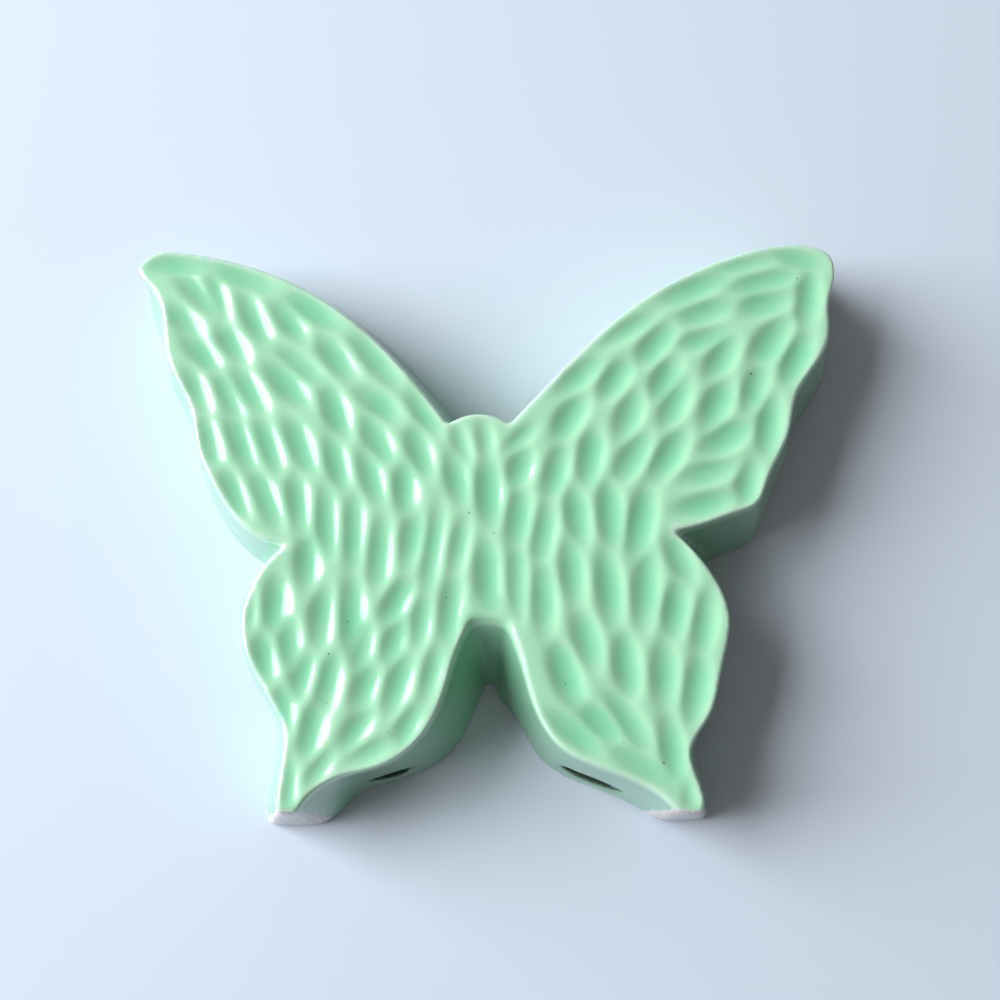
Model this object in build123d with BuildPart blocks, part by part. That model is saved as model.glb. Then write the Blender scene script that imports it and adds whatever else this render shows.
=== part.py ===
from build123d import *
import math
import os

# A carved and glazed earthenware butterfly that lies on its flat back. X runs to its right wing as it
# is seen, Y to its head and Z up out of the carved face. The origin is the middle of the flat back.

# The whole piece, in mm
FACE_HALF_WIDTH = 69.0
FACE_HALF_HEIGHT = 54.7
DEPTH = 22.5
FLARE = 5.75
RIM_ROUND = 1.5

# The clay
WALL = 4.0
FACE_CLAY = 5.0
SLAB = 3.0
SEAM = 0.4

# Where the walls stand on their band of slip
WALL_FOOT = SLAB + SEAM

# The loop tool that carved the face
LOOP_RADIUS = 4.5

# The two oval vent holes, low in the walls under the lower wings. The lip is the clay left below them.
LEFT_VENT_LENGTH = 8.5
RIGHT_VENT_LENGTH = 13.0
VENT_HEIGHT = 5.6
VENT_LIP = 0.5
VENT_TURN = 22

SOFT = False
CORNER = True

# The rim of the face, clockwise from the left wing tip. A row holds its place in half widths and half
# heights of the face, the share of the flare that the wall takes there, and whether the curve breaks.
# A pair instead of one share gives the wall's own lean, along X and along Y.
OUTLINE_SHARES = [
    (-0.999, 0.910, 0.60, SOFT),
    (-0.964, 0.963, 0.60, SOFT),
    (-0.877, 0.973, 0.70, SOFT),
    (-0.674, 0.916, 0.80, SOFT),
    (-0.435, 0.766, 0.70, SOFT),
    (-0.210, 0.497, 0.65, SOFT),
    (-0.110, 0.333, 0.75, CORNER),
    (-0.012, 0.371, 0.60, SOFT),
    (0.067, 0.333, 0.75, CORNER),
    (0.217, 0.536, 0.65, SOFT),
    (0.464, 0.810, 0.75, SOFT),
    (0.725, 0.965, 0.85, SOFT),
    (0.913, 1.000, 0.95, SOFT),
    (0.988, 0.962, 0.70, SOFT),
    (0.996, 0.867, 0.70, SOFT),
    (0.977, 0.786, 0.90, SOFT),
    (0.975, 0.676, 1.00, SOFT),
    (0.925, 0.545, 1.00, SOFT),
    (0.874, 0.446, 1.00, SOFT),
    (0.849, 0.311, 0.92, SOFT),
    (0.780, 0.128, 1.00, SOFT),
    (0.757, 0.062, 1.00, SOFT),
    (0.681, 0.016, 1.10, SOFT),
    (0.598, -0.021, 1.10, SOFT),
    (0.516, -0.044, 1.08, CORNER),
    (0.616, -0.186, 1.00, SOFT),
    (0.665, -0.340, 0.78, SOFT),
    (0.638, -0.521, 0.70, SOFT),
    (0.600, -0.680, 0.85, SOFT),
    (0.549, -0.790, 0.80, SOFT),
    (0.574, -0.914, 0.70, SOFT),
    (0.581, -0.998, (0.71, -0.78), CORNER),
    (0.516, -0.998, 0.78, CORNER),
    (0.362, -0.872, 1.00, SOFT),
    (0.203, -0.779, 0.86, SOFT),
    (0.129, -0.631, 0.86, SOFT),
    (0.093, -0.466, (-0.50, -1.80), SOFT),
    (0.058, -0.353, (-0.39, -2.20), CORNER),
    (-0.038, -0.342, (0.49, -2.25), CORNER),
    (-0.083, -0.466, (0.77, -1.60), SOFT),
    (-0.151, -0.704, 1.15, SOFT),
    (-0.283, -0.843, 0.88, SOFT),
    (-0.413, -0.887, 1.00, SOFT),
    (-0.475, -0.943, (0.59, -1.01), SOFT),
    (-0.501, -0.998, (0.05, -0.94), CORNER),
    (-0.555, -0.998, 0.95, CORNER),
    (-0.543, -0.845, 1.00, SOFT),
    (-0.539, -0.750, 1.00, SOFT),
    (-0.617, -0.545, 1.00, SOFT),
    (-0.664, -0.369, 1.00, SOFT),
    (-0.649, -0.260, 1.00, SOFT),
    (-0.545, -0.090, 0.92, CORNER),
    (-0.672, -0.026, 0.80, SOFT),
    (-0.739, 0.084, 0.92, SOFT),
    (-0.803, 0.245, 0.92, SOFT),
    (-0.832, 0.402, 1.00, SOFT),
    (-0.907, 0.596, 0.95, SOFT),
    (-0.929, 0.779, 1.20, SOFT),
    (-0.970, 0.852, 1.00, SOFT),
]

# The line that the hollow keeps one wall inside of: the rim again, cut short at the wing tips and above
# the feet, which are solid clay.
HOLLOW_SHARES = [
    (-0.930, 0.840, 0.60, CORNER),
    (-0.895, 0.940, 0.60, CORNER),
    (-0.674, 0.916, 0.80, SOFT),
    (-0.435, 0.766, 0.70, SOFT),
    (-0.210, 0.497, 0.65, SOFT),
    (-0.110, 0.333, 0.75, CORNER),
    (0.067, 0.333, 0.75, CORNER),
    (0.217, 0.536, 0.65, SOFT),
    (0.464, 0.810, 0.75, SOFT),
    (0.725, 0.965, 0.85, SOFT),
    (0.885, 0.980, 0.90, CORNER),
    (0.950, 0.880, 0.70, CORNER),
    (0.965, 0.730, 0.90, SOFT),
    (0.925, 0.545, 1.00, SOFT),
    (0.849, 0.311, 0.92, SOFT),
    (0.780, 0.128, 1.00, SOFT),
    (0.757, 0.062, 1.00, SOFT),
    (0.681, 0.016, 1.10, SOFT),
    (0.598, -0.021, 1.10, SOFT),
    (0.516, -0.044, 1.08, CORNER),
    (0.616, -0.186, 1.00, SOFT),
    (0.665, -0.340, 0.78, SOFT),
    (0.638, -0.521, 0.70, SOFT),
    (0.600, -0.680, 0.85, SOFT),
    (0.545, -0.800, 0.80, CORNER),
    (0.400, -0.895, 1.00, CORNER),
    (0.203, -0.779, 0.86, SOFT),
    (0.129, -0.631, 0.86, SOFT),
    (0.093, -0.466, (-0.50, -1.80), SOFT),
    (0.058, -0.353, (-0.39, -2.20), CORNER),
    (-0.038, -0.342, (0.49, -2.25), CORNER),
    (-0.083, -0.466, (0.77, -1.60), SOFT),
    (-0.151, -0.704, 1.15, SOFT),
    (-0.283, -0.843, 0.88, SOFT),
    (-0.400, -0.885, 1.00, CORNER),
    (-0.535, -0.775, 1.00, CORNER),
    (-0.617, -0.545, 1.00, SOFT),
    (-0.664, -0.369, 1.00, SOFT),
    (-0.649, -0.260, 1.00, SOFT),
    (-0.545, -0.090, 0.92, CORNER),
    (-0.672, -0.026, 0.80, SOFT),
    (-0.739, 0.084, 0.92, SOFT),
    (-0.803, 0.245, 0.92, SOFT),
    (-0.832, 0.402, 1.00, SOFT),
    (-0.907, 0.596, 0.95, SOFT),
]

# The strokes of the loop tool, feather by feather. A row holds the two ends of the stroke in half widths
# and half heights of the face, and its width in diameters of the loop.
LEFT_UPPER_WING_SHARES = [
    (-0.950, 0.925, -0.785, 0.910, 0.56),
    (-0.795, 0.935, -0.560, 0.800, 0.59),
    (-0.580, 0.845, -0.380, 0.650, 0.67),
    (-0.390, 0.700, -0.210, 0.430, 0.69),
    (-0.230, 0.495, -0.090, 0.255, 0.69),
    (-0.875, 0.855, -0.750, 0.730, 0.62),
    (-0.785, 0.865, -0.715, 0.690, 0.54),
    (-0.705, 0.805, -0.605, 0.605, 0.60),
    (-0.620, 0.770, -0.485, 0.605, 0.59),
    (-0.480, 0.665, -0.365, 0.455, 0.68),
    (-0.370, 0.500, -0.215, 0.315, 0.68),
    (-0.890, 0.775, -0.795, 0.650, 0.62),
    (-0.850, 0.680, -0.740, 0.500, 0.53),
    (-0.755, 0.680, -0.660, 0.540, 0.56),
    (-0.595, 0.625, -0.430, 0.470, 0.58),
    (-0.645, 0.575, -0.475, 0.360, 0.63),
    (-0.455, 0.460, -0.365, 0.240, 0.71),
    (-0.350, 0.360, -0.250, 0.175, 0.66),
    (-0.210, 0.320, -0.140, 0.110, 0.62),
    (-0.735, 0.545, -0.595, 0.360, 0.64),
    (-0.760, 0.520, -0.665, 0.320, 0.64),
    (-0.870, 0.505, -0.755, 0.375, 0.58),
    (-0.570, 0.345, -0.455, 0.135, 0.62),
    (-0.460, 0.310, -0.365, 0.055, 0.57),
    (-0.355, 0.255, -0.275, 0.015, 0.67),
    (-0.225, 0.200, -0.210, -0.025, 0.60),
    (-0.095, 0.245, -0.045, 0.025, 0.56),
    (-0.815, 0.360, -0.720, 0.205, 0.64),
    (-0.745, 0.365, -0.625, 0.155, 0.68),
    (-0.655, 0.350, -0.560, 0.140, 0.65),
    (-0.755, 0.150, -0.630, 0.010, 0.62),
    (-0.670, 0.170, -0.545, -0.040, 0.65),
    (-0.525, 0.180, -0.495, -0.080, 0.68),
    (-0.450, 0.105, -0.420, -0.180, 0.67),
    (-0.350, 0.100, -0.365, -0.225, 0.61),
    (-0.275, 0.005, -0.300, -0.280, 0.64),
]

LEFT_BODY_SHARES = [
    (-0.105, 0.085, -0.140, -0.290, 0.58),
    (-0.045, -0.015, -0.060, -0.215, 0.50),
    (-0.150, 0.035, -0.200, -0.175, 0.65),
    (-0.175, -0.200, -0.275, -0.375, 0.69),
    (-0.185, -0.325, -0.265, -0.495, 0.62),
    (-0.145, -0.250, -0.145, -0.455, 0.56),
    (-0.075, -0.185, -0.075, -0.445, 0.53),
    (-0.100, -0.430, -0.135, -0.645, 0.54),
    (-0.170, -0.460, -0.230, -0.690, 0.65),
    (-0.135, -0.665, -0.210, -0.805, 0.51),
]

LEFT_LOWER_WING_SHARES = [
    (-0.470, -0.035, -0.475, -0.270, 0.59),
    (-0.560, -0.195, -0.565, -0.390, 0.56),
    (-0.630, -0.230, -0.630, -0.380, 0.45),
    (-0.605, -0.405, -0.590, -0.620, 0.67),
    (-0.420, -0.225, -0.440, -0.465, 0.69),
    (-0.510, -0.325, -0.515, -0.530, 0.59),
    (-0.340, -0.185, -0.370, -0.485, 0.70),
    (-0.455, -0.450, -0.490, -0.620, 0.63),
    (-0.305, -0.360, -0.325, -0.570, 0.57),
    (-0.385, -0.460, -0.445, -0.695, 0.65),
    (-0.405, -0.605, -0.470, -0.830, 0.71),
    (-0.555, -0.560, -0.515, -0.780, 0.65),
    (-0.245, -0.500, -0.355, -0.670, 0.69),
    (-0.270, -0.650, -0.380, -0.770, 0.56),
    (-0.210, -0.765, -0.355, -0.850, 0.57),
    (-0.380, -0.795, -0.455, -0.925, 0.55),
    (-0.505, -0.800, -0.500, -1.000, 0.47),
]

RIGHT_UPPER_WING_SHARES = [
    (0.840, 0.960, 0.980, 0.930, 0.52),
    (0.910, 0.685, 0.935, 0.885, 0.64),
    (0.650, 0.920, 0.845, 0.940, 0.42),
    (0.705, 0.825, 0.895, 0.885, 0.57),
    (0.500, 0.760, 0.715, 0.870, 0.66),
    (0.710, 0.715, 0.885, 0.805, 0.72),
    (0.540, 0.685, 0.720, 0.760, 0.62),
    (0.335, 0.585, 0.500, 0.740, 0.48),
    (0.415, 0.505, 0.525, 0.700, 0.69),
    (0.550, 0.600, 0.685, 0.660, 0.55),
    (0.745, 0.550, 0.880, 0.725, 0.77),
    (0.830, 0.465, 0.935, 0.665, 0.68),
    (0.615, 0.480, 0.710, 0.645, 0.71),
    (0.720, 0.365, 0.795, 0.540, 0.63),
    (0.465, 0.410, 0.540, 0.575, 0.68),
    (0.200, 0.415, 0.325, 0.570, 0.48),
    (0.320, 0.365, 0.400, 0.580, 0.71),
    (0.600, 0.305, 0.705, 0.490, 0.72),
    (0.765, 0.210, 0.840, 0.440, 0.69),
    (0.500, 0.305, 0.575, 0.505, 0.66),
    (0.185, 0.265, 0.290, 0.435, 0.68),
    (0.370, 0.245, 0.430, 0.455, 0.67),
    (0.595, 0.210, 0.765, 0.330, 0.72),
    (0.270, 0.085, 0.305, 0.320, 0.64),
    (0.360, 0.115, 0.465, 0.305, 0.68),
    (0.450, 0.100, 0.565, 0.305, 0.69),
    (0.510, 0.090, 0.725, 0.185, 0.63),
    (0.685, 0.010, 0.800, 0.215, 0.71),
    (0.510, 0.000, 0.710, 0.080, 0.66),
    (0.185, 0.055, 0.225, 0.250, 0.60),
    (0.095, 0.110, 0.135, 0.255, 0.71),
    (0.060, 0.235, 0.140, 0.320, 0.49),
]

BODY_SHARES = [
    (-0.060, 0.300, -0.025, 0.185, 0.50),
    (0.010, 0.340, 0.030, 0.200, 0.50),
    (0.005, 0.215, 0.025, -0.055, 0.71),
    (0.110, 0.115, 0.085, -0.125, 0.67),
    (0.210, 0.060, 0.145, -0.190, 0.64),
    (0.000, -0.095, 0.030, -0.340, 0.71),
    (0.080, -0.080, 0.110, -0.360, 0.54),
    (0.160, -0.120, 0.190, -0.430, 0.64),
    (0.220, -0.065, 0.280, -0.315, 0.64),
    (0.250, 0.115, 0.290, -0.115, 0.68),
    (0.340, 0.120, 0.370, -0.130, 0.69),
    (0.495, 0.130, 0.390, -0.165, 0.68),
    (0.325, -0.105, 0.375, -0.400, 0.68),
    (0.470, -0.080, 0.420, -0.420, 0.73),
    (0.500, -0.040, 0.585, -0.225, 0.64),
    (0.530, -0.210, 0.515, -0.440, 0.68),
    (0.630, -0.255, 0.580, -0.485, 0.60),
]

RIGHT_LOWER_WING_SHARES = [
    (0.240, -0.315, 0.315, -0.530, 0.66),
    (0.185, -0.420, 0.255, -0.660, 0.65),
    (0.375, -0.410, 0.405, -0.670, 0.72),
    (0.470, -0.385, 0.520, -0.655, 0.75),
    (0.605, -0.460, 0.545, -0.750, 0.63),
    (0.320, -0.565, 0.460, -0.805, 0.62),
    (0.260, -0.640, 0.370, -0.755, 0.67),
    (0.185, -0.670, 0.330, -0.810, 0.59),
    (0.490, -0.650, 0.545, -0.945, 0.66),
    (0.315, -0.775, 0.535, -0.890, 0.57),
    (0.540, -0.880, 0.565, -0.995, 0.41),
]

CARVING_SHARES = (
    LEFT_UPPER_WING_SHARES,
    LEFT_BODY_SHARES,
    LEFT_LOWER_WING_SHARES,
    RIGHT_UPPER_WING_SHARES,
    BODY_SHARES,
    RIGHT_LOWER_WING_SHARES,
)

# Where the middles of the vent holes lie, in half widths and half heights of the face
LEFT_VENT_SHARES = (-0.268, -0.925)
RIGHT_VENT_SHARES = (0.298, -0.930)


def face_point(x_share, y_share):
    """A point of the face, from its shares of the half width and half height."""
    return Vector(x_share * FACE_HALF_WIDTH, y_share * FACE_HALF_HEIGHT)


def outward(start, end):
    """The unit normal on the outer side of one side of an outline, which runs clockwise."""
    way = (end - start).normalized()
    return Vector(-way.Y, way.X)


def mitres(points):
    """The move at each point of a closed outline that moves both its sides out by one."""
    moves = []
    for before, here, after in zip(points[-1:] + points[:-1], points, points[1:] + points[:1]):
        first, second = outward(before, here), outward(here, after)
        moves.append((first + second) / (1 + first.dot(second)))
    return moves


def outline(rows, height, inset=0):
    """The points of an outline at a height above the back, moved in by an inset."""
    spread = FLARE * (DEPTH - height) / DEPTH
    rim = [face_point(row[0], row[1]) for row in rows]
    points = []
    for point, mitre, row in zip(rim, mitres(rim), rows):
        lean = Vector(*row[2]) if isinstance(row[2], tuple) else mitre * row[2]
        points.append(point + lean * spread - mitre * inset)
    return points


def section(rows, height, inset=0):
    """The level slice of an outline at a height, with curves that break at its corners."""
    points = outline(rows, height, inset)
    first = next(index for index, row in enumerate(rows) if row[3])
    order = [(first + step) % len(rows) for step in range(len(rows) + 1)]
    with BuildSketch(Plane.XY.offset(height)) as slice_sketch:
        with BuildLine():
            run = [points[first]]
            for index in order[1:]:
                run.append(points[index])
                if rows[index][3]:
                    if len(run) > 2:
                        Spline(*run)
                    else:
                        Line(*run)
                    run = [points[index]]
        make_face()
    return slice_sketch.sketch


def stroke(start_x, start_y, end_x, end_y, width_share):
    """What one stroke of the loop tool takes away: a spindle with the loop's radius at its waist."""
    start, end = face_point(start_x, start_y), face_point(end_x, end_y)
    half_length = (end - start).length / 2
    half_width = width_share * LOOP_RADIUS
    bite = LOOP_RADIUS - math.sqrt(LOOP_RADIUS**2 - half_width**2)
    swing = half_length**2 / (2 * bite) + bite / 2
    reach = math.sqrt(swing**2 - (swing - LOOP_RADIUS) ** 2)
    along = (end - start).normalized()
    middle = (start + end) / 2
    lift = DEPTH - bite + LOOP_RADIUS
    side = Plane((middle.X, middle.Y, lift), x_dir=along, z_dir=(-along.Y, along.X, 0))
    with BuildPart() as spindle:
        with BuildSketch(side):
            with BuildLine():
                ThreePointArc((-reach, 0), (0, LOOP_RADIUS), (reach, 0))
                Line((reach, 0), (-reach, 0))
            make_face()
        revolve(axis=Axis(side.origin, side.x_dir))
    return spindle.part


def vent_plane(shares, turn):
    """The upright plane of a vent hole's mouth."""
    middle = face_point(*shares)
    angle = math.radians(turn)
    return Plane(
        (middle.X, middle.Y, WALL_FOOT + VENT_LIP + VENT_HEIGHT / 2),
        x_dir=(math.cos(angle), math.sin(angle), 0),
        z_dir=(math.sin(angle), -math.cos(angle), 0),
    )


def strokes(rows):
    """All strokes of one stretch of the carving."""
    return [stroke(*row) for row in rows]


# The carved face and the flared walls, hollow behind, with the vent holes and the carving
with BuildPart() as carved_shell:
    loft([section(OUTLINE_SHARES, WALL_FOOT), section(OUTLINE_SHARES, DEPTH)], ruled=True)
    fillet(carved_shell.faces().sort_by(Axis.Z)[-1].edges(), radius=RIM_ROUND)
    ceiling = DEPTH - FACE_CLAY
    loft(
        [section(HOLLOW_SHARES, WALL_FOOT, WALL), section(HOLLOW_SHARES, ceiling, WALL)],
        ruled=True,
        mode=Mode.SUBTRACT,
    )
    with BuildSketch(vent_plane(LEFT_VENT_SHARES, VENT_TURN)):
        Ellipse(LEFT_VENT_LENGTH / 2, VENT_HEIGHT / 2)
    extrude(amount=WALL * 2, both=True, mode=Mode.SUBTRACT)
    with BuildSketch(vent_plane(RIGHT_VENT_SHARES, -VENT_TURN)):
        Ellipse(RIGHT_VENT_LENGTH / 2, VENT_HEIGHT / 2)
    extrude(amount=WALL * 2, both=True, mode=Mode.SUBTRACT)
    for rows in CARVING_SHARES:
        add(strokes(rows[::2]), mode=Mode.SUBTRACT)
        add(strokes(rows[1::2]), mode=Mode.SUBTRACT)

# The band of slip between the walls and the slab
with BuildPart() as slip_seam:
    loft([section(OUTLINE_SHARES, SLAB), section(OUTLINE_SHARES, WALL_FOOT)], ruled=True)
    loft(
        [section(HOLLOW_SHARES, SLAB, WALL), section(HOLLOW_SHARES, WALL_FOOT, WALL)],
        ruled=True,
        mode=Mode.SUBTRACT,
    )

# The slab that closes the back
with BuildPart() as back_slab:
    loft([section(OUTLINE_SHARES, 0), section(OUTLINE_SHARES, SLAB)], ruled=True)

# The origin goes to the middle of the flat back
back = section(OUTLINE_SHARES, 0).bounding_box().center()

os.makedirs("parts", exist_ok=True)
for name, piece in (("carved_shell", carved_shell), ("slip_seam", slip_seam), ("back_slab", back_slab)):
    placed = Pos(-back.X, -back.Y) * piece.part
    placed.label = name
    export_step(placed, f"parts/{name}.step")
    print(name, "volume", round(placed.volume), "box", placed.bounding_box())
print("middle of the back before the move", back)
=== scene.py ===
import math

import bmesh
import bpy
import numpy as np
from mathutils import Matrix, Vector
from mathutils.kdtree import KDTree


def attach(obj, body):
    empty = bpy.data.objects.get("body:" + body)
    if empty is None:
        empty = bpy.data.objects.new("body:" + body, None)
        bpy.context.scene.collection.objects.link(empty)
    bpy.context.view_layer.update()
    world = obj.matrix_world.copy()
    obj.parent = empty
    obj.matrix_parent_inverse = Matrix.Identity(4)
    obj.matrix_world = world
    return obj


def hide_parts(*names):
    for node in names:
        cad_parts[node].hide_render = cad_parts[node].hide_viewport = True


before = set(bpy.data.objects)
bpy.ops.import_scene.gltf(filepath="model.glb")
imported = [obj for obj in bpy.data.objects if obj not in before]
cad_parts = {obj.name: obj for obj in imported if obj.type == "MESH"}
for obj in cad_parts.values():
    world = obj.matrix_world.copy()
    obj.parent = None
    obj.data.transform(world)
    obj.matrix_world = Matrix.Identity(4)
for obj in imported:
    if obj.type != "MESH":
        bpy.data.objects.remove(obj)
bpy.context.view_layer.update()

MM = 0.001

# The CAD nodes that the glazed body stands for
CLAY_NODES = ("carved_shell", "slip_seam", "back_slab")

# The face of the CAD body: its half width and half height, its height above the back, and where its middle
# lies
FACE_HALF_WIDTH = 69.0 * MM
FACE_HALF_HEIGHT = 54.7 * MM
FACE_HEIGHT = 22.5 * MM
FACE_MIDDLE_X = 0.1034 * MM
FACE_MIDDLE_Y = -0.2551 * MM

# The CAD body's wall, and the heights between which its hollow lies, with a little to spare. The vents:
# where their mouths are, and how far round them the skin is still a vent's
WALL = 4.0 * MM
HOLLOW_FOOT = 2.4 * MM
HOLLOW_TOP = 18.3 * MM
VENT_MIDDLES = ((-18.4 * MM, -50.9 * MM), (20.7 * MM, -51.1 * MM))
VENT_REACH = 10.0 * MM

# The strokes, listed: where each starts and ends in half widths and half heights of the face, and how
# wide it is, as a share of FULL_WIDTH
LEFT_UPPER_WING_SHARES = (
    (-0.97, 0.93, -0.805, 0.91, 0.59), (-0.785, 0.91, -0.595, 0.83, 0.62),
    (-0.565, 0.805, -0.415, 0.69, 0.68), (-0.375, 0.665, -0.245, 0.475, 0.68),
    (-0.215, 0.455, -0.14, 0.31, 0.59), (-0.875, 0.88, -0.77, 0.75, 0.62),
    (-0.785, 0.87, -0.74, 0.73, 0.56), (-0.695, 0.805, -0.625, 0.65, 0.68),
    (-0.6, 0.77, -0.515, 0.65, 0.68), (-0.47, 0.65, -0.375, 0.505, 0.71),
    (-0.355, 0.465, -0.245, 0.355, 0.68), (-0.9, 0.76, -0.81, 0.665, 0.68),
    (-0.85, 0.65, -0.755, 0.54, 0.68), (-0.755, 0.685, -0.68, 0.565, 0.68),
    (-0.58, 0.605, -0.465, 0.495, 0.62), (-0.615, 0.55, -0.505, 0.41, 0.76),
    (-0.45, 0.465, -0.39, 0.3, 0.76), (-0.335, 0.34, -0.27, 0.21, 0.74), (-0.205, 0.31, -0.16, 0.165, 0.71),
    (-0.71, 0.54, -0.625, 0.385, 0.71), (-0.755, 0.505, -0.69, 0.365, 0.62),
    (-0.84, 0.52, -0.785, 0.395, 0.65), (-0.55, 0.34, -0.485, 0.175, 0.74),
    (-0.435, 0.275, -0.39, 0.11, 0.68), (-0.34, 0.225, -0.295, 0.065, 0.71),
    (-0.23, 0.175, -0.215, 0.025, 0.71), (-0.095, 0.22, -0.065, 0.065, 0.68),
    (-0.795, 0.345, -0.75, 0.21, 0.68), (-0.715, 0.345, -0.65, 0.185, 0.74),
    (-0.635, 0.34, -0.575, 0.175, 0.71), (-0.725, 0.155, -0.665, 0.02, 0.68),
    (-0.645, 0.155, -0.57, -0.02, 0.71), (-0.53, 0.145, -0.505, -0.045, 0.71),
    (-0.445, 0.09, -0.43, -0.12, 0.71), (-0.365, 0.075, -0.36, -0.175, 0.68),
    (-0.285, -0.01, -0.295, -0.23, 0.74),
)
LEFT_BODY_SHARES = (
    (-0.13, 0.025, -0.16, -0.24, 0.59), (-0.06, -0.02, -0.085, -0.19, 0.56),
    (-0.195, 0.005, -0.215, -0.165, 0.68), (-0.215, -0.23, -0.27, -0.355, 0.71),
    (-0.23, -0.365, -0.265, -0.495, 0.68), (-0.165, -0.285, -0.185, -0.44, 0.62),
    (-0.085, -0.22, -0.105, -0.42, 0.68), (-0.13, -0.455, -0.16, -0.62, 0.53),
    (-0.21, -0.475, -0.26, -0.665, 0.74), (-0.185, -0.66, -0.23, -0.76, 0.59),
)
LEFT_LOWER_WING_SHARES = (
    (-0.49, -0.08, -0.485, -0.24, 0.74), (-0.57, -0.22, -0.575, -0.385, 0.79),
    (-0.64, -0.265, -0.64, -0.375, 0.44), (-0.61, -0.41, -0.585, -0.565, 0.74),
    (-0.44, -0.245, -0.45, -0.45, 0.74), (-0.54, -0.355, -0.52, -0.51, 0.74),
    (-0.365, -0.22, -0.36, -0.455, 0.76), (-0.48, -0.465, -0.505, -0.61, 0.71),
    (-0.325, -0.375, -0.34, -0.52, 0.68), (-0.41, -0.485, -0.435, -0.66, 0.71),
    (-0.45, -0.65, -0.48, -0.805, 0.76), (-0.555, -0.585, -0.53, -0.74, 0.71),
    (-0.305, -0.51, -0.34, -0.65, 0.74), (-0.31, -0.66, -0.375, -0.775, 0.65),
    (-0.26, -0.77, -0.355, -0.825, 0.53), (-0.415, -0.805, -0.465, -0.895, 0.53),
    (-0.52, -0.825, -0.525, -0.97, 0.53),
)
RIGHT_UPPER_WING_SHARES = (
    (0.835, 0.965, 0.955, 0.93, 0.56), (0.93, 0.88, 0.91, 0.705, 0.71), (0.665, 0.905, 0.82, 0.945, 0.44),
    (0.71, 0.835, 0.875, 0.885, 0.59), (0.5, 0.785, 0.68, 0.875, 0.65), (0.725, 0.75, 0.86, 0.8, 0.76),
    (0.56, 0.72, 0.695, 0.77, 0.68), (0.34, 0.63, 0.47, 0.73, 0.53), (0.44, 0.565, 0.52, 0.685, 0.74),
    (0.56, 0.62, 0.675, 0.675, 0.59), (0.76, 0.565, 0.85, 0.705, 0.82), (0.85, 0.495, 0.915, 0.665, 0.71),
    (0.635, 0.51, 0.7, 0.64, 0.76), (0.74, 0.395, 0.78, 0.54, 0.71), (0.48, 0.44, 0.535, 0.565, 0.74),
    (0.21, 0.45, 0.31, 0.56, 0.65), (0.335, 0.44, 0.395, 0.55, 0.74), (0.62, 0.33, 0.68, 0.485, 0.79),
    (0.78, 0.24, 0.81, 0.43, 0.71), (0.505, 0.34, 0.56, 0.485, 0.74), (0.205, 0.295, 0.27, 0.425, 0.76),
    (0.38, 0.295, 0.425, 0.44, 0.74), (0.615, 0.24, 0.725, 0.325, 0.79), (0.28, 0.13, 0.305, 0.3, 0.74),
    (0.375, 0.145, 0.445, 0.285, 0.74), (0.47, 0.135, 0.55, 0.295, 0.76), (0.545, 0.13, 0.69, 0.185, 0.65),
    (0.715, 0.065, 0.745, 0.19, 0.68), (0.535, 0.025, 0.68, 0.07, 0.65), (0.18, 0.09, 0.215, 0.245, 0.68),
    (0.085, 0.125, 0.11, 0.23, 0.74), (0.07, 0.25, 0.125, 0.315, 0.47),
)
BODY_SHARES = (
    (0.005, 0.19, 0.015, -0.01, 0.79), (0.1, 0.095, 0.085, -0.09, 0.74), (0.175, 0.045, 0.15, -0.145, 0.68),
    (-0.08, 0.31, -0.055, 0.21, 0.50), (-0.005, 0.32, 0.005, 0.225, 0.50), (0, -0.09, 0.015, -0.32, 0.76),
    (0.085, -0.11, 0.09, -0.33, 0.62), (0.155, -0.165, 0.165, -0.395, 0.71),
    (0.23, -0.095, 0.25, -0.3, 0.71), (0.245, 0.095, 0.265, -0.08, 0.71), (0.34, 0.115, 0.35, -0.09, 0.74),
    (0.45, 0.1, 0.41, -0.13, 0.79), (0.33, -0.13, 0.35, -0.365, 0.76), (0.445, -0.13, 0.43, -0.375, 0.76),
    (0.51, -0.08, 0.56, -0.21, 0.65), (0.53, -0.24, 0.51, -0.4, 0.76), (0.61, -0.275, 0.585, -0.455, 0.68),
)
RIGHT_LOWER_WING_SHARES = (
    (0.255, -0.33, 0.295, -0.505, 0.74), (0.19, -0.445, 0.245, -0.635, 0.79),
    (0.375, -0.41, 0.39, -0.605, 0.76), (0.485, -0.44, 0.485, -0.64, 0.76),
    (0.585, -0.475, 0.555, -0.695, 0.71), (0.34, -0.61, 0.435, -0.785, 0.68),
    (0.26, -0.65, 0.35, -0.75, 0.71), (0.18, -0.675, 0.295, -0.785, 0.65),
    (0.49, -0.675, 0.51, -0.895, 0.68), (0.34, -0.785, 0.495, -0.895, 0.62),
    (0.535, -0.905, 0.55, -0.98, 0.41),
)
STROKE_SHARES = (
    LEFT_UPPER_WING_SHARES
    + LEFT_BODY_SHARES
    + LEFT_LOWER_WING_SHARES
    + RIGHT_UPPER_WING_SHARES
    + BODY_SHARES
    + RIGHT_LOWER_WING_SHARES
)

# How wide and how deep a stroke is whose width share is 1, in mm. Both follow the share
FULL_WIDTH = 6.8
FULL_DEPTH = 1.15

# The scoop that the glaze leaves of a stroke: how much longer it is at each end, in mm, how many times as
# wide, what share of the depth stays open, and how far its bowl reaches, as a squared share of its half
# sizes
SCOOP_LENGTHEN = 1.5
SCOOP_WIDEN = 1.12
OPEN_SHARE = 0.88
BOWL_REACH = 1.12

# How round the ridges between the scoops are, in mm, and the squared share of its half sizes up to which a
# scoop counts for them
RIDGE_ROUND = 0.22
RIDGE_REACH = 8.0

# The heights between which the carving comes in
CARVE_FOOT = 19.0 * MM
CARVE_TOP = 21.8 * MM

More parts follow.
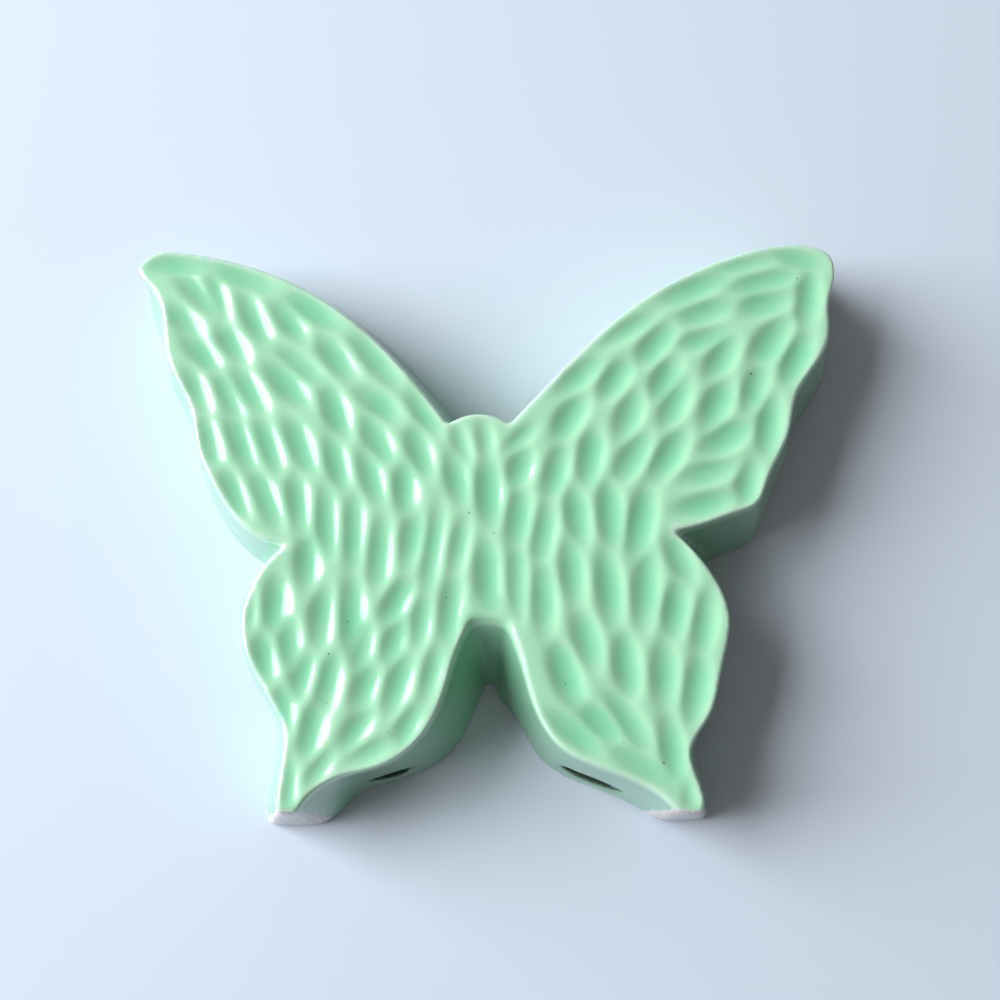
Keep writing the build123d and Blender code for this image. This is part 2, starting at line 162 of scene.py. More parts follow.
# The lid that fills the CAD's strokes before the scoops are pressed in: where it starts inside the clay, how
# far in, the height at which the CAD's outline is taken, how far apart points along that outline are at
# most, and how near each other the CAD's points are welded
LID_FOOT = 19.0 * MM
LID_INSET = 0.4 * MM
RING_HEIGHT = 20.3 * MM
RING_STEP = 0.5 * MM
WELD = 0.002 * MM

# The band of slip is stretched about its middle, so that it overlaps the clay on both sides
SEAM_MIDDLE = 3.2 * MM
SEAM_STRETCH = 2.0

# The remesh, and the smoothing before and after the scoops
VOXEL = 0.45 * MM
SMOOTH_STEP = 0.5
SMOOTH_ROUNDS = 12
LAST_SMOOTH_ROUNDS = 1

# The feet are worn round, from where that starts along Y to where it is full. So is the face's edge at the
# top of the fork, from a height on and up to a distance all round: in full up to the first share of that
# distance, and with no line of thin glaze along the rim up to the second
FOOT_START = -52.5 * MM
FOOT_FULL = -55.5 * MM
FORK_TOP = (0.7 * MM, -19.3 * MM)
FORK_FOOT = 15.0 * MM
FORK_REACH = 6.0 * MM
FORK_FULL_SHARE = 0.4
FORK_RIM_SHARE = 0.5
WORN_ROUNDS = 60

# The most triangles that the body may have, how freely the walls and what doesn't show are made lighter, as
# shares, how much that counts, and the height below which the skin is the back
MOST_TRIANGLES = 192000
WALL_SPARE_SHARE = 0.25
HIDDEN_SPARE_SHARE = 1.0
SPARE_FACTOR = 40.0
BACK_HEIGHT = 0.1 * MM

# The skin of the hollow and the vents, which is painted near black as shade: between which shares of the
# wall's depth it comes in, from which share of a vent's reach it goes out, how far it fades at the hollow's
# foot and top, and between which outward parts of its normal it turns into the outer skin
HOLLOW_START_SHARE = 0.12
HOLLOW_FULL_SHARE = 0.35
VENT_FULL_SHARE = 0.8
HOLLOW_FADE = 0.4 * MM
FACING_START = 0.3
FACING_FULL = 0.75

# The line of thin glaze along the rim: how wide it is, from which share of that it fades, and how far below
# the face it starts and is full
RIM_LINE = 1.3 * MM
RIM_FADE_SHARE = 0.3
RIM_DROP_START = 1.7 * MM
RIM_DROP_FULL = 0.9 * MM

# The most that the marks of a ridge and of pooled glaze reach
MOST_RIDGE = 1.2
MOST_POOLED = 1.5

# A face whose normal has no larger upward part than this is the flat back, and isn't shaded smooth
FLAT_BACK = -0.995


# Shapes

def rim_ring():
    """The outline of the CAD body below its strokes: its points in order, and the wall's slope at each."""
    work = bmesh.new()
    work.from_mesh(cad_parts["carved_shell"].data)
    bmesh.ops.remove_doubles(work, verts=work.verts[:], dist=WELD)
    cut = bmesh.ops.bisect_plane(
        work,
        geom=work.verts[:] + work.edges[:] + work.faces[:],
        plane_co=(0, 0, RING_HEIGHT),
        plane_no=(0, 0, 1),
        clear_outer=True,
    )
    work.normal_update()
    edges = {item for item in cut["geom_cut"] if isinstance(item, bmesh.types.BMEdge)}
    start = max((vert for edge in edges for vert in edge.verts), key=lambda vert: vert.co.x)
    ring = [start]
    edge = next(item for item in start.link_edges if item in edges)
    while True:
        vert = edge.other_vert(ring[-1])
        if vert is start:
            break
        ring.append(vert)
        edge = next(item for item in vert.link_edges if item in edges and item is not edge)
    places = [vert.co.copy() for vert in ring]
    slopes = [vert.normal.copy() for vert in ring]
    work.free()
    return places, slopes


def add_lid(work):
    """A lid over the strokes, up to the height of the face."""
    places, slopes = rim_ring()
    rings = []
    for height, inset in ((LID_FOOT, LID_INSET), (RING_HEIGHT, 0), (FACE_HEIGHT, 0)):
        ring = []
        for place, slope in zip(places, slopes):
            level = math.hypot(slope.x, slope.y)
            inward = inset + max(height - RING_HEIGHT, 0) * slope.z / level
            ring.append(work.verts.new((
                place.x - slope.x / level * inward,
                place.y - slope.y / level * inward,
                height,
            )))
        rings.append(ring)
    for low, high in zip(rings, rings[1:]):
        for index in range(len(low)):
            after = (index + 1) % len(low)
            work.faces.new((low[index], low[after], high[after], high[index]))
    for ring, up in ((rings[0], -1), (rings[-1], 1)):
        edges = [work.edges.get((ring[index - 1], ring[index])) for index in range(len(ring))]
        bmesh.ops.triangle_fill(work, edges=edges, normal=(0, 0, up))


def joined_clay():
    """The shell, the band of slip and the slab as one mesh, with the strokes filled."""
    work = bmesh.new()
    for name in CLAY_NODES:
        before = len(work.verts)
        work.from_mesh(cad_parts[name].data)
        work.verts.ensure_lookup_table()
        if name == "slip_seam":
            for vert in work.verts[before:]:
                vert.co.z = SEAM_MIDDLE + (vert.co.z - SEAM_MIDDLE) * SEAM_STRETCH
    add_lid(work)
    bmesh.ops.recalc_face_normals(work, faces=work.faces[:])
    mesh = bpy.data.meshes.new("clay")
    work.to_mesh(mesh)
    work.free()
    return mesh


def with_modifier(mesh, kind, group=None, weights=None, **settings):
    """A new mesh: the given one after a modifier, which may follow the weights of its points."""
    piece = bpy.data.objects.new("clay_work", mesh)
    bpy.context.scene.collection.objects.link(piece)
    modifier = piece.modifiers.new(kind.lower(), kind)
    if group:
        weighted = piece.vertex_groups.new(name=group)
        for index in np.flatnonzero(weights > 0):
            weighted.add([int(index)], float(weights[index]), "REPLACE")
        modifier.vertex_group = group
    for key, value in settings.items():
        setattr(modifier, key, value)
    graph = bpy.context.evaluated_depsgraph_get()
    result = bpy.data.meshes.new_from_object(piece.evaluated_get(graph))
    bpy.data.objects.remove(piece)
    return result


def points_of(mesh, what="co"):
    """The places of a mesh's points, or their normals, a row each."""
    flat = np.empty(len(mesh.vertices) * 3)
    mesh.vertices.foreach_get(what, flat)
    return flat.reshape(-1, 3)


def set_points(mesh, points):
    mesh.vertices.foreach_set("co", points.ravel())
    mesh.update()


def smoothstep(values, low, high):
    t = np.clip((values - low) / (high - low), 0, 1)
    return t * t * (3 - 2 * t)


def scoop_of(stroke):
    """The scoop that the glaze leaves of a stroke, in mm: its middle, which way it runs, in radians, half
    its length, half its width and its depth."""
    start_x, start_y, end_x, end_y, width_share = stroke
    run_x = (end_x - start_x) * FACE_HALF_WIDTH / MM
    run_y = (end_y - start_y) * FACE_HALF_HEIGHT / MM
    return (
        (start_x + end_x) / 2 * FACE_HALF_WIDTH / MM,
        (start_y + end_y) / 2 * FACE_HALF_HEIGHT / MM,
        math.atan2(run_y, run_x),
        math.hypot(run_x, run_y) / 2 + SCOOP_LENGTHEN,
        width_share * FULL_WIDTH / 2 * SCOOP_WIDEN,
        width_share * FULL_DEPTH,
    )


def scoops_at(x, y):
    """How deep the glazed scoops are at each place, with rounded ridges where they meet, and how near each
    place is to a ridge, from 0 to about 1."""
    total = np.ones_like(x)
    deepest = np.zeros_like(x)
    for middle_x, middle_y, turn, half_length, half_width, depth in map(scoop_of, STROKE_SHARES):
        away_x = x / MM - middle_x - FACE_MIDDLE_X / MM
        away_y = y / MM - middle_y - FACE_MIDDLE_Y / MM
        cos, sin = math.cos(turn), math.sin(turn)
        along = (away_x * cos + away_y * sin) / half_length
        across = (away_y * cos - away_x * sin) / half_width
        near = along**2 + across**2 < RIDGE_REACH
        here = OPEN_SHARE * depth * (BOWL_REACH - along[near] ** 2 - across[near] ** 2)
        total[near] += np.exp(here / RIDGE_ROUND)
        deepest[near] = np.maximum(deepest[near], here)
    carving = np.log(total) * RIDGE_ROUND
    return carving * MM, (carving - deepest) / (RIDGE_ROUND * math.log(2))


def rim_points():
    """Points close together along the outline, a row each: the place, the way out of the body, and how much
    the wall leans out for each step down."""
    places, slopes = rim_ring()
    rows = []
    for index, place in enumerate(places):
        after = (index + 1) % len(places)
        parts = max(1, math.ceil((places[after] - place).length / RING_STEP))
        for part in range(parts):
            spot = place.lerp(places[after], part / parts)
            slope = slopes[index].lerp(slopes[after], part / parts)
            level = math.hypot(slope.x, slope.y)
            rows.append((spot.x, spot.y, slope.x / level, slope.y / level, slope.z / level))
    return np.array(rows)


def depth_in(points, rim):
    """How far inside the outer wall each point is, level with it, below 0 outside, and the way out."""
    tree = KDTree(len(rim))
    for index, row in enumerate(rim):
        tree.insert((row[0], row[1], 0), index)
    tree.balance()
    nearest = rim[[tree.find((x, y, 0))[1] for x, y in points[:, :2]]]
    away = nearest[:, :2] - points[:, :2]
    side = np.sign(np.sum(away * nearest[:, 2:4], axis=1))
    deep = side * np.hypot(away[:, 0], away[:, 1]) + (RING_HEIGHT - points[:, 2]) * nearest[:, 4]
    return deep, nearest[:, 2:4]


def from_fork(points):
    """How far each point is from the top of the fork, seen from the front."""
    return np.hypot(points[:, 0] - FORK_TOP[0], points[:, 1] - FORK_TOP[1])


def hollow_share(mesh, points, deep, way_out):
    """1 on the walls of the hollow and of the vents, 0 on the outside."""
    outward = np.sum(points_of(mesh, "normal")[:, :2] * way_out, axis=1)
    level = smoothstep(points[:, 2], HOLLOW_FOOT, HOLLOW_FOOT + HOLLOW_FADE)
    level *= 1 - smoothstep(points[:, 2], HOLLOW_TOP, HOLLOW_TOP + HOLLOW_FADE)
    share = smoothstep(deep, HOLLOW_START_SHARE * WALL, HOLLOW_FULL_SHARE * WALL)
    for vent_x, vent_y in VENT_MIDDLES:
        away = np.hypot(points[:, 0] - vent_x, points[:, 1] - vent_y)
        share = np.maximum(share, 1 - smoothstep(away, VENT_FULL_SHARE * VENT_REACH, VENT_REACH))
    return level * share * (1 - smoothstep(outward, FACING_START, FACING_FULL))


def carved_clay():
    """The whole body in one skin, with the glazed scoops in its face."""
    clay = with_modifier(joined_clay(), "REMESH", mode="VOXEL", voxel_size=VOXEL, use_smooth_shade=True)
    clay = with_modifier(clay, "SMOOTH", factor=SMOOTH_STEP, iterations=SMOOTH_ROUNDS)
    points = points_of(clay)
    carving = scoops_at(points[:, 0], points[:, 1])[0]
    points[:, 2] -= carving * smoothstep(points[:, 2], CARVE_FOOT, CARVE_TOP)
    set_points(clay, points)
    return with_modifier(clay, "SMOOTH", factor=SMOOTH_STEP, iterations=LAST_SMOOTH_ROUNDS)


def worn_clay(clay):
    """The body with its feet and the edge at the top of the fork worn round."""
    points = points_of(clay)
    fork = 1 - smoothstep(from_fork(points), FORK_FULL_SHARE * FORK_REACH, FORK_REACH)
    fork = fork * smoothstep(points[:, 2], FORK_FOOT, CARVE_FOOT)
    worn = np.maximum(smoothstep(-points[:, 1], -FOOT_START, -FOOT_FULL), fork)
    return with_modifier(clay, "SMOOTH", "worn", worn, factor=SMOOTH_STEP, iterations=WORN_ROUNDS)


def lighter_clay(clay, rim):
    """The body with fewer triangles. The walls, the back and the hollow lose theirs before the face does."""
    points = points_of(clay)
    deep, way_out = depth_in(points, rim)
    spare = np.where(points[:, 2] > CARVE_FOOT, 0.0, WALL_SPARE_SHARE)
    spare[(hollow_share(clay, points, deep, way_out) > 0.5) & (deep > WALL)] = HIDDEN_SPARE_SHARE
    spare[points[:, 2] < BACK_HEIGHT] = HIDDEN_SPARE_SHARE
    clay = with_modifier(
        clay,
        "DECIMATE",
        "spare",
        spare,
        vertex_group_factor=SPARE_FACTOR,
        ratio=MOST_TRIANGLES / (2 * len(clay.polygons)),
        use_collapse_triangulate=True,
    )
    points = points_of(clay)
    points[:, 2] = np.clip(points[:, 2], 0, FACE_HEIGHT)
    set_points(clay, points)
    return clay


def add_marks(clay, rim):
    """What the colours of the glaze and the clay follow, a number from 0 up at each point."""
    points = points_of(clay)
    deep, way_out = depth_in(points, rim)
    on_face = smoothstep(points[:, 2], CARVE_FOOT, CARVE_TOP)
    carving, ridge = scoops_at(points[:, 0], points[:, 1])
    uncarved = points[:, 2] + carving * on_face
    rim_line = 1 - smoothstep(deep, RIM_LINE * RIM_FADE_SHARE, RIM_LINE)
    rim_line *= smoothstep(uncarved, FACE_HEIGHT - RIM_DROP_START, FACE_HEIGHT - RIM_DROP_FULL)
    rim_line *= smoothstep(from_fork(points), FORK_RIM_SHARE * FORK_REACH, FORK_REACH)
    marks = {
        "ridge": np.clip(ridge, 0, MOST_RIDGE) * on_face,
        "pooled": np.clip(carving / MM, 0, MOST_POOLED) * on_face,
        # hollow: where the near black of painted shade goes, in the hollow and the vents' bores
        "hollow": hollow_share(clay, points, deep, way_out),
        # wall: where the walls get the darker glaze of painted shade
        "wall": 1 - on_face,
        "rim": rim_line,
    }
    for name, values in marks.items():
        layer = clay.attributes.new(name, "FLOAT", "POINT")
        layer.data.foreach_set("value", values.astype(np.float32))


rim = rim_points()
clay = lighter_clay(worn_clay(carved_clay()), rim)
add_marks(clay, rim)
for polygon in clay.polygons:
    polygon.use_smooth = polygon.normal.z > FLAT_BACK

body = bpy.data.objects.new("glazed_butterfly", clay)
bpy.context.scene.collection.objects.link(body)
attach(body, "root")
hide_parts(*CLAY_NODES)


# Materials

# Pinholes and specks in the glaze, in mm on the face: where, how wide, and how dark, below 0 for a pale one.
# Each is darkest up to the first share of its width and ends at the second, and shows on the face only
PINHOLES = (
    (-37.8, 45.5, 0.20, -0.6),
    (2.7, 19.6, 0.18, 0.5),
    (51.7, 28.4, 0.24, 0.8),
    (61.5, 47.8, 0.22, 0.6),
    (-3.2, 1.0, 0.22, 0.7),
    (1.6, -2.9, 0.20, 0.5),
    (-7.5, -15.2, 0.18, 0.6),
    (-25.9, -19.7, 0.30, 0.35),
    (-29.3, -25.7, 0.22, 0.7),
    (-29.5, -34.7, 0.16, 0.6),
    (-18.0, -40.0, 0.16, 0.5),
    (25.6, -41.8, 0.20, 0.5),
    (32.9, -45.6, 0.24, 0.75),
    (15.0, -31.2, 0.24, 0.4),
    (40.6, 8.3, 0.14, 0.4),
)
PIN_FULL_SHARE = 0.4
PIN_END_SHARE = 1.3
PIN_FOOT = 19.0 * MM
PIN_TOP = 20.0 * MM

# The colours of the glaze, as linear red, green and blue: where it is thin, where it pooled, on the ridges,
# along the rim, darker on the walls as painted shade, in the pinholes and in the finest specks
PALE_GLAZE = (0.42, 0.81, 0.54, 1)
POOLED_GLAZE = (0.25, 0.69, 0.43, 1)
RIDGE_GLAZE = (0.58, 0.89, 0.67, 1)
RIM_GLAZE = (0.58, 0.86, 0.69, 1)
# Darker glaze for the walls: painted shade
SHADED_WALL_GLAZE = (0.26, 0.57, 0.38, 1)
DARK_PIN = (0.06, 0.11, 0.06, 1)
PALE_PIN = (0.90, 0.92, 0.90, 1)
SPECK_GLAZE = (0.12, 0.25, 0.14, 1)

# The colours of the clay: in its scratches and between them, where it is tinted, in the brown stain, and the
# near black of painted shade in the hollow and the vents
SCRATCH_CLAY = (0.68, 0.64, 0.63, 1)
PALE_CLAY = (0.86, 0.85, 0.86, 1)
TINTED_CLAY = (0.45, 0.33, 0.29, 1)
STAINED_CLAY = (0.28, 0.17, 0.12, 1)
# Painted shade: near black where the hollow and the vents' bores lie in shade
HOLLOW_PAINTED_SHADE = (0.030, 0.045, 0.030, 1)

# How many patches of noise there are to the metre, for the mottle of the colour, the thin glaze of the rim,
# the stretches with specks, the edge of the glaze, the clay's tint, the gloss and the waves. The scratches
# have noise that is stretched along Y and Z. The specks have cells, as many to the metre
MOTTLE_PATCHES = 160
RIM_PATCHES = 230
SPECK_PATCHES = 60
EDGE_PATCHES = 260
TINT_PATCHES = 300
GLOSS_PATCHES = 90
WAVE_PATCHES = 110
SCRATCH_PATCHES = 500
SCRATCH_STRETCH = (5, 0.5, 0.2)
SPECK_CELLS = 260

# Most noise lies in the first span. The others are where the noise starts to count and counts in full
NOISE_SPAN = (0.3, 0.7)
RIM_NOISE = (0.25, 0.6)
SPECK_NOISE = (0.60, 0.64)
SCRATCH_NOISE = (0.34, 0.55)
TINT_NOISE = (0.55, 0.72)

# How the marks of the mesh turn into colour: by how much noise shifts the mark of pooled glaze, where the
# marks start to count and count in full, and how much of each colour there is at most
MOTTLE = 0.12
POOLED_SPAN = (0.0, 0.95)
RIDGE_SPAN = (0.25, 1.0)
# The span over which the walls take on the painted shade
WALL_SHADE_SPAN = (0.3, 1.0)
RIDGE_SHARE = 0.12
RIM_SHARES = (0.35, 0.9)
SPECK_SHARE = 0.35
SPECK_SPAN = (0.03, 0.07)
TINT_SHARE = 0.2

# The clay was left bare at the ends of the feet: where the glaze stops on the face, along Y, how much
# further out it stops for each step down the left and the right foot, how far from the middle each foot's
# own lean counts, how far the edge wanders, and half the width over which it fades
BARE_LINE = -54.05 * MM
LEFT_BARE_LEAN = 0.20
RIGHT_BARE_LEAN = 0.14
LEAN_TURN = 5.0 * MM
EDGE_WANDER = 0.28 * MM
EDGE_FADE = 0.15 * MM

# Under the back it is bare up to the first height, and glazed from the second, with less of the wandering
BACK_BARE = 0.15 * MM
BACK_GLAZED = 0.35 * MM
BACK_WANDER_SHARE = 0.4

# The brown stain on the right foot: its middle, how far from that it is full and where it ends, and how much
# of it there is
STAIN_PLACE = (40.3 * MM, -56.6 * MM, 7.0 * MM)
STAIN_FULL = 0.8 * MM
STAIN_END = 2.6 * MM
STAIN_SHARE = 0.8

# How rough the glaze is, at least and at most, and the clay, and the clear coat that the glaze has
GLAZE_ROUGHNESS = (0.16, 0.25)
CLAY_ROUGHNESS = 0.85
COAT = 0.5
COAT_ROUGHNESS = 0.05
GLASS_IOR = 1.5

# The relief of the waves, the pits and the scratches, as shares of its height, how deep a speck's pit is
# beside a pinhole's, and how much of the relief there is
WAVE_SHARE = 0.25
PIT_SHARE = -0.25
SCRATCH_SHARE = 0.25
SPECK_PIT_SHARE = 0.3
RELIEF_SHARE = 0.5
RELIEF_HEIGHT = 0.3 * MM


def new_material(name):
    material = bpy.data.materials.new(name)
    material.use_nodes = True
    tree = material.node_tree
    return material, tree, tree.nodes["Principled BSDF"]


class Nodes:
    """Short ways to add nodes to one material or world."""

    def __init__(self, tree, coordinates="Object"):
        self.tree = tree
        self.place = self.add("ShaderNodeTexCoord").outputs[coordinates]

    def add(self, kind, **settings):
        node = self.tree.nodes.new(kind)
        for key, value in settings.items():
            setattr(node, key, value)
        return node

    def put(self, socket, value):
        if isinstance(value, bpy.types.NodeSocket):
            self.tree.links.new(value, socket)
        else:
            socket.default_value = value

    def maths(self, operation, first, second):
        node = self.add("ShaderNodeMath", operation=operation)
        self.put(node.inputs[0], first)
        self.put(node.inputs[1], second)
        return node.outputs[0]

    def vector_maths(self, operation, first, second):
        """A number worked out from two vectors."""
        node = self.add("ShaderNodeVectorMath", operation=operation)
        self.put(node.inputs[0], first)
        self.put(node.inputs[1], second)
        return node.outputs["Value"]

    def span(self, value, low, high, start=0.0, end=1.0):
        """A smooth step from start to end as the value goes from low to high."""
        node = self.add("ShaderNodeMapRange", interpolation_type="SMOOTHSTEP")
        for name, number in (
            ("Value", value),
            ("From Min", low),
            ("From Max", high),
            ("To Min", start),
            ("To Max", end),
        ):
            self.put(node.inputs[name], number)
        return node.outputs["Result"]

    def mix(self, share, first, second):
        node = self.add("ShaderNodeMix", data_type="RGBA")
        self.put(node.inputs[0], share)
        self.put(node.inputs[6], first)
        self.put(node.inputs[7], second)
        return node.outputs[2]

    def mark(self, name):
        """A mark that add_marks left on the mesh."""
        return self.add("ShaderNodeAttribute", attribute_name=name).outputs["Fac"]

    def noise(self, patches, detail, stretch=(1, 1, 1)):
        """Noise about 0.5, with so many patches to the metre."""
        mapping = self.add("ShaderNodeMapping")
        self.put(mapping.inputs["Vector"], self.place)
        self.put(mapping.inputs["Scale"], stretch)
        node = self.add("ShaderNodeTexNoise")
        self.put(node.inputs["Vector"], mapping.outputs[0])
        self.put(node.inputs["Scale"], patches)
        self.put(node.inputs["Detail"], detail)
        return node.outputs["Fac"]

    def bump(self, height, strength, distance):
        node = self.add("ShaderNodeBump")
        self.put(node.inputs["Height"], height)
        self.put(node.inputs["Strength"], strength)
        self.put(node.inputs["Distance"], distance)
        return node.outputs["Normal"]


def glaze_colour(nodes):
    """Paler where the glaze ran thin over the ridges and the rim, deeper green where it pooled, and darker
    on the walls as painted shade.
    """
    mottle = nodes.span(nodes.noise(MOTTLE_PATCHES, 3), *NOISE_SPAN, -MOTTLE, MOTTLE)
    pooled = nodes.maths("ADD", nodes.mark("pooled"), mottle)
    colour = nodes.mix(nodes.span(pooled, *POOLED_SPAN), PALE_GLAZE, POOLED_GLAZE)
    ridge = nodes.maths("MULTIPLY", nodes.span(nodes.mark("ridge"), *RIDGE_SPAN), RIDGE_SHARE)
    colour = nodes.mix(ridge, colour, RIDGE_GLAZE)
    # Painted shade: the walls get a darker glaze
    colour = nodes.mix(nodes.span(nodes.mark("wall"), *WALL_SHADE_SPAN), colour, SHADED_WALL_GLAZE)
    thin = nodes.span(nodes.noise(RIM_PATCHES, 2), *RIM_NOISE, *RIM_SHARES)
    return nodes.mix(nodes.maths("MULTIPLY", nodes.mark("rim"), thin), colour, RIM_GLAZE)


def pinholes(nodes, x, y, z):
    """How dark the pinholes are at each place, below 0 in the pale ones."""
    flat = nodes.add("ShaderNodeCombineXYZ")
    nodes.put(flat.inputs[0], x)
    nodes.put(flat.inputs[1], y)
    pin = 0.0
    for pin_x, pin_y, wide, dark in PINHOLES:
        middle = (pin_x * MM + FACE_MIDDLE_X, pin_y * MM + FACE_MIDDLE_Y, 0)
        away = nodes.vector_maths("DISTANCE", flat.outputs[0], middle)
        spot = nodes.span(away, wide * PIN_FULL_SHARE * MM, wide * PIN_END_SHARE * MM, dark, 0.0)
        pin = nodes.maths("ADD", pin, spot)
    return nodes.maths("MULTIPLY", pin, nodes.span(z, PIN_FOOT, PIN_TOP))


def specks(nodes):
    """1 in the finest specks, which lie in a few stretches only."""
    cells = nodes.add("ShaderNodeTexVoronoi")
    nodes.put(cells.inputs["Vector"], nodes.place)
    nodes.put(cells.inputs["Scale"], SPECK_CELLS)
    speck = nodes.span(cells.outputs["Distance"], *SPECK_SPAN, 1.0, 0.0)
    chosen = nodes.span(nodes.noise(SPECK_PATCHES, 0), *SPECK_NOISE)
    return nodes.maths("MULTIPLY", speck, chosen)


def bare_clay(nodes, x, y, z):
    """1 where the clay is bare, at the ends of the feet and under the back."""
    wander = nodes.span(nodes.noise(EDGE_PATCHES, 3), *NOISE_SPAN, -EDGE_WANDER, EDGE_WANDER)
    lean = nodes.span(x, -LEAN_TURN, LEAN_TURN, LEFT_BARE_LEAN, RIGHT_BARE_LEAN)
    down = nodes.maths("SUBTRACT", FACE_HEIGHT, z)
    edge = nodes.maths("ADD", nodes.maths("ADD", y, wander), nodes.maths("MULTIPLY", down, lean))
    foot = nodes.span(edge, BARE_LINE - EDGE_FADE, BARE_LINE + EDGE_FADE, 1.0, 0.0)
    height = nodes.maths("ADD", z, nodes.maths("MULTIPLY", wander, BACK_WANDER_SHARE))
    under = nodes.span(height, BACK_BARE, BACK_GLAZED, 1.0, 0.0)
    return nodes.maths("MAXIMUM", foot, under)


def clay_colour(nodes, scratch):
    """The bare clay, pale with darker scratches, a tint here and there, and one brown stain."""
    colour = nodes.mix(nodes.span(scratch, *SCRATCH_NOISE), SCRATCH_CLAY, PALE_CLAY)
    tint = nodes.span(nodes.noise(TINT_PATCHES, 2), *TINT_NOISE)
    colour = nodes.mix(nodes.maths("MULTIPLY", tint, TINT_SHARE), colour, TINTED_CLAY)
    away = nodes.vector_maths("DISTANCE", nodes.place, STAIN_PLACE)
    return nodes.mix(nodes.span(away, STAIN_FULL, STAIN_END, STAIN_SHARE, 0.0), colour, STAINED_CLAY)


def mint_glaze():
    """The glaze with its pinholes, specks and faint waves, the clay where it is bare, and painted shade in
    the hollow.
    """
    material, tree, shader = new_material("mint_glaze")
    nodes = Nodes(tree)
    split = nodes.add("ShaderNodeSeparateXYZ")
    nodes.put(split.inputs[0], nodes.place)
    pin = pinholes(nodes, *split.outputs)
    dark_pin = nodes.maths("MAXIMUM", pin, 0.0)
    pale_pin = nodes.maths("MULTIPLY", nodes.maths("MINIMUM", pin, 0.0), -1.0)
    speck = specks(nodes)
    bare = bare_clay(nodes, *split.outputs)
    scratch = nodes.noise(SCRATCH_PATCHES, 3, SCRATCH_STRETCH)
    hollow = nodes.mark("hollow")

    colour = nodes.mix(dark_pin, glaze_colour(nodes), DARK_PIN)
    colour = nodes.mix(pale_pin, colour, PALE_PIN)
    colour = nodes.mix(nodes.maths("MULTIPLY", speck, SPECK_SHARE), colour, SPECK_GLAZE)
    colour = nodes.mix(bare, colour, clay_colour(nodes, scratch))
    # Painted shade: near black over the hollow and the vents' bores
    nodes.put(shader.inputs["Base Color"], nodes.mix(hollow, colour, HOLLOW_PAINTED_SHADE))

    rough = nodes.add("ShaderNodeMix", data_type="FLOAT")
    nodes.put(rough.inputs[0], nodes.maths("MAXIMUM", bare, hollow))
    nodes.put(rough.inputs[2], nodes.span(nodes.noise(GLOSS_PATCHES, 2), *NOISE_SPAN, *GLAZE_ROUGHNESS))
    nodes.put(rough.inputs[3], CLAY_ROUGHNESS)
    nodes.put(shader.inputs["Roughness"], rough.outputs[0])
    shader.inputs["IOR"].default_value = GLASS_IOR
    shader.inputs["Coat Weight"].default_value = COAT
    shader.inputs["Coat Roughness"].default_value = COAT_ROUGHNESS
    shader.inputs["Coat IOR"].default_value = GLASS_IOR

    waves = nodes.maths("MULTIPLY", nodes.noise(WAVE_PATCHES, 2), WAVE_SHARE)
    pits = nodes.maths("ADD", dark_pin, nodes.maths("MULTIPLY", speck, SPECK_PIT_SHARE))
    pits = nodes.maths("MULTIPLY", pits, PIT_SHARE)
    grain = nodes.maths("MULTIPLY", nodes.maths("MULTIPLY", scratch, bare), SCRATCH_SHARE)
    relief = nodes.maths("ADD", nodes.maths("ADD", waves, pits), grain)
    nodes.put(shader.inputs["Normal"], nodes.bump(relief, RELIEF_SHARE, RELIEF_HEIGHT))
    return material


body.data.materials.clear()
body.data.materials.append(mint_glaze())


# Floor, light and camera

FLOOR_HALF = 1.5
FLOOR_COLOUR = (0.68, 0.77, 0.90, 1)
FLOOR_ROUGHNESS = 0.95
FLOOR_SPECULAR = 0.1

# The window: where it stands, its width and height, its power in watts and its colour
WINDOW_PLACE = (-1.20, 0.31, 0.80)
WINDOW_WIDTH = 1.10
WINDOW_HEIGHT = 1.25
WINDOW_POWER = 39.5
WINDOW_COLOUR = (0.97, 0.99, 1.0)

# The light of the room: towards which side it grows, between which places on the way, from which strength to
# which, and its colour. The camera sees the backdrop's colour instead
BRIGHT_SIDE = (-0.45, 0.75, 0.5)
ROOM_SPAN = (-0.6, 0.8)
ROOM_STRENGTHS = (0.06, 0.24)
ROOM_COLOUR = (1.0, 0.91, 0.84, 1)
BACKDROP_COLOUR = (0.80, 0.86, 0.93, 1)

# The camera, with its lens and sensor in mm and its tilt in degrees
CAMERA_PLACE = (0.002803, -0.028355, 0.2225)
CAMERA_TILT = 8.95
LENS = 38.16
SENSOR = 36
NEAREST = 0.01


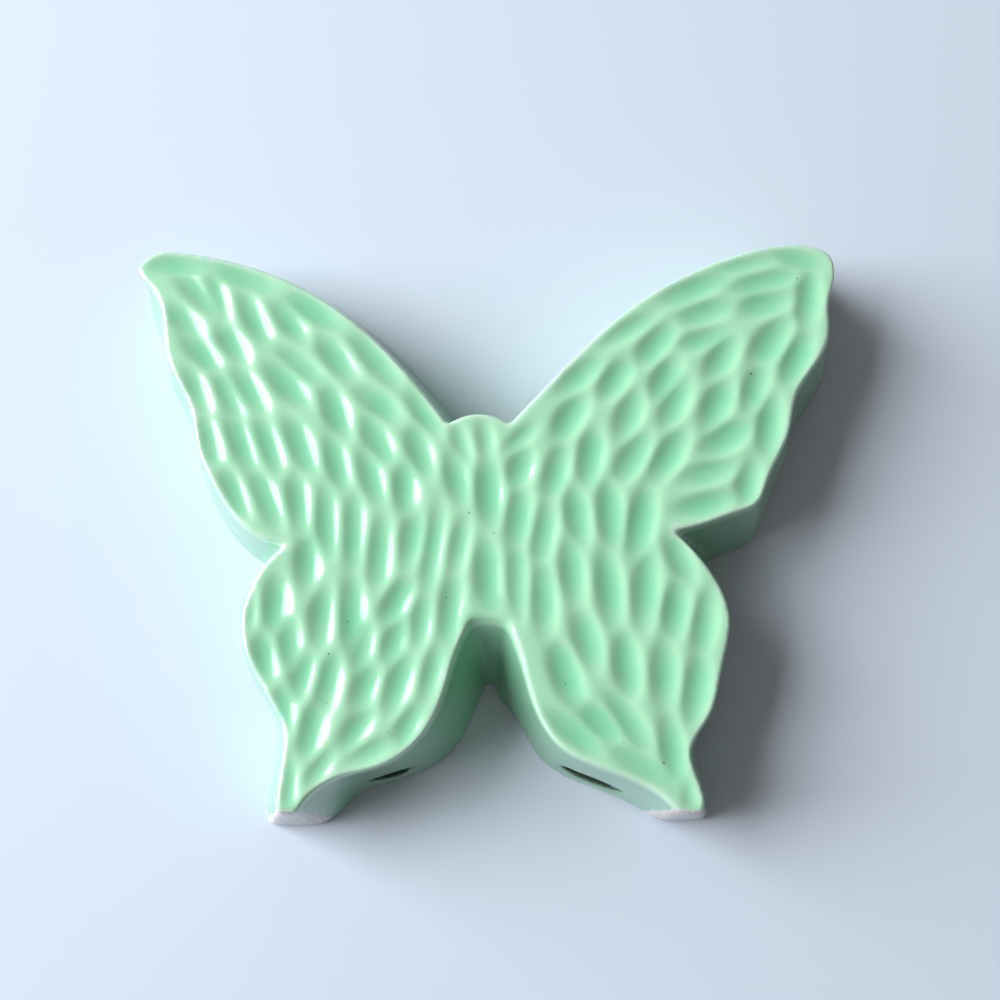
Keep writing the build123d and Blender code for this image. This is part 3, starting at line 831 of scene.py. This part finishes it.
def add_floor():
    material, _, shader = new_material("pale_floor")
    shader.inputs["Base Color"].default_value = FLOOR_COLOUR
    shader.inputs["Roughness"].default_value = FLOOR_ROUGHNESS
    shader.inputs["Specular IOR Level"].default_value = FLOOR_SPECULAR
    mesh = bpy.data.meshes.new("floor")
    corners = [(x * FLOOR_HALF, y * FLOOR_HALF, 0) for x, y in ((-1, -1), (1, -1), (1, 1), (-1, 1))]
    mesh.from_pydata(corners, [], [(0, 1, 2, 3)])
    mesh.materials.append(material)
    floor = bpy.data.objects.new("floor", mesh)
    bpy.context.scene.collection.objects.link(floor)


def add_window():
    """A large soft light that faces the middle of the object."""
    data = bpy.data.lights.new("window", "AREA")
    data.shape = "RECTANGLE"
    data.size = WINDOW_WIDTH
    data.size_y = WINDOW_HEIGHT
    data.energy = WINDOW_POWER
    data.color = WINDOW_COLOUR
    lamp = bpy.data.objects.new("window", data)
    lamp.location = WINDOW_PLACE
    lamp.rotation_euler = (-Vector(WINDOW_PLACE)).to_track_quat("-Z", "Y").to_euler()
    bpy.context.scene.collection.objects.link(lamp)


def add_room():
    """Soft light from all round, and a pale backdrop."""
    world = bpy.data.worlds.new("studio")
    world.use_nodes = True
    nodes = Nodes(world.node_tree, "Generated")
    towards = nodes.vector_maths("DOT_PRODUCT", nodes.place, BRIGHT_SIDE)
    seen = nodes.add("ShaderNodeLightPath").outputs["Is Camera Ray"]
    lighting = nodes.span(towards, *ROOM_SPAN, *ROOM_STRENGTHS)
    background = world.node_tree.nodes["Background"]
    nodes.put(background.inputs["Color"], nodes.mix(seen, ROOM_COLOUR, BACKDROP_COLOUR))
    nodes.put(background.inputs["Strength"], nodes.maths("MAXIMUM", lighting, seen))
    bpy.context.scene.world = world


def add_camera():
    data = bpy.data.cameras.new("camera")
    data.sensor_width = SENSOR
    data.lens = LENS
    data.clip_start = NEAREST
    camera = bpy.data.objects.new("camera", data)
    camera.location = CAMERA_PLACE
    camera.rotation_euler = (math.radians(CAMERA_TILT), 0, 0)
    bpy.context.scene.collection.objects.link(camera)
    bpy.context.scene.camera = camera


add_floor()
add_window()
add_room()
add_camera()
bpy.context.scene.view_settings.view_transform = "Standard"
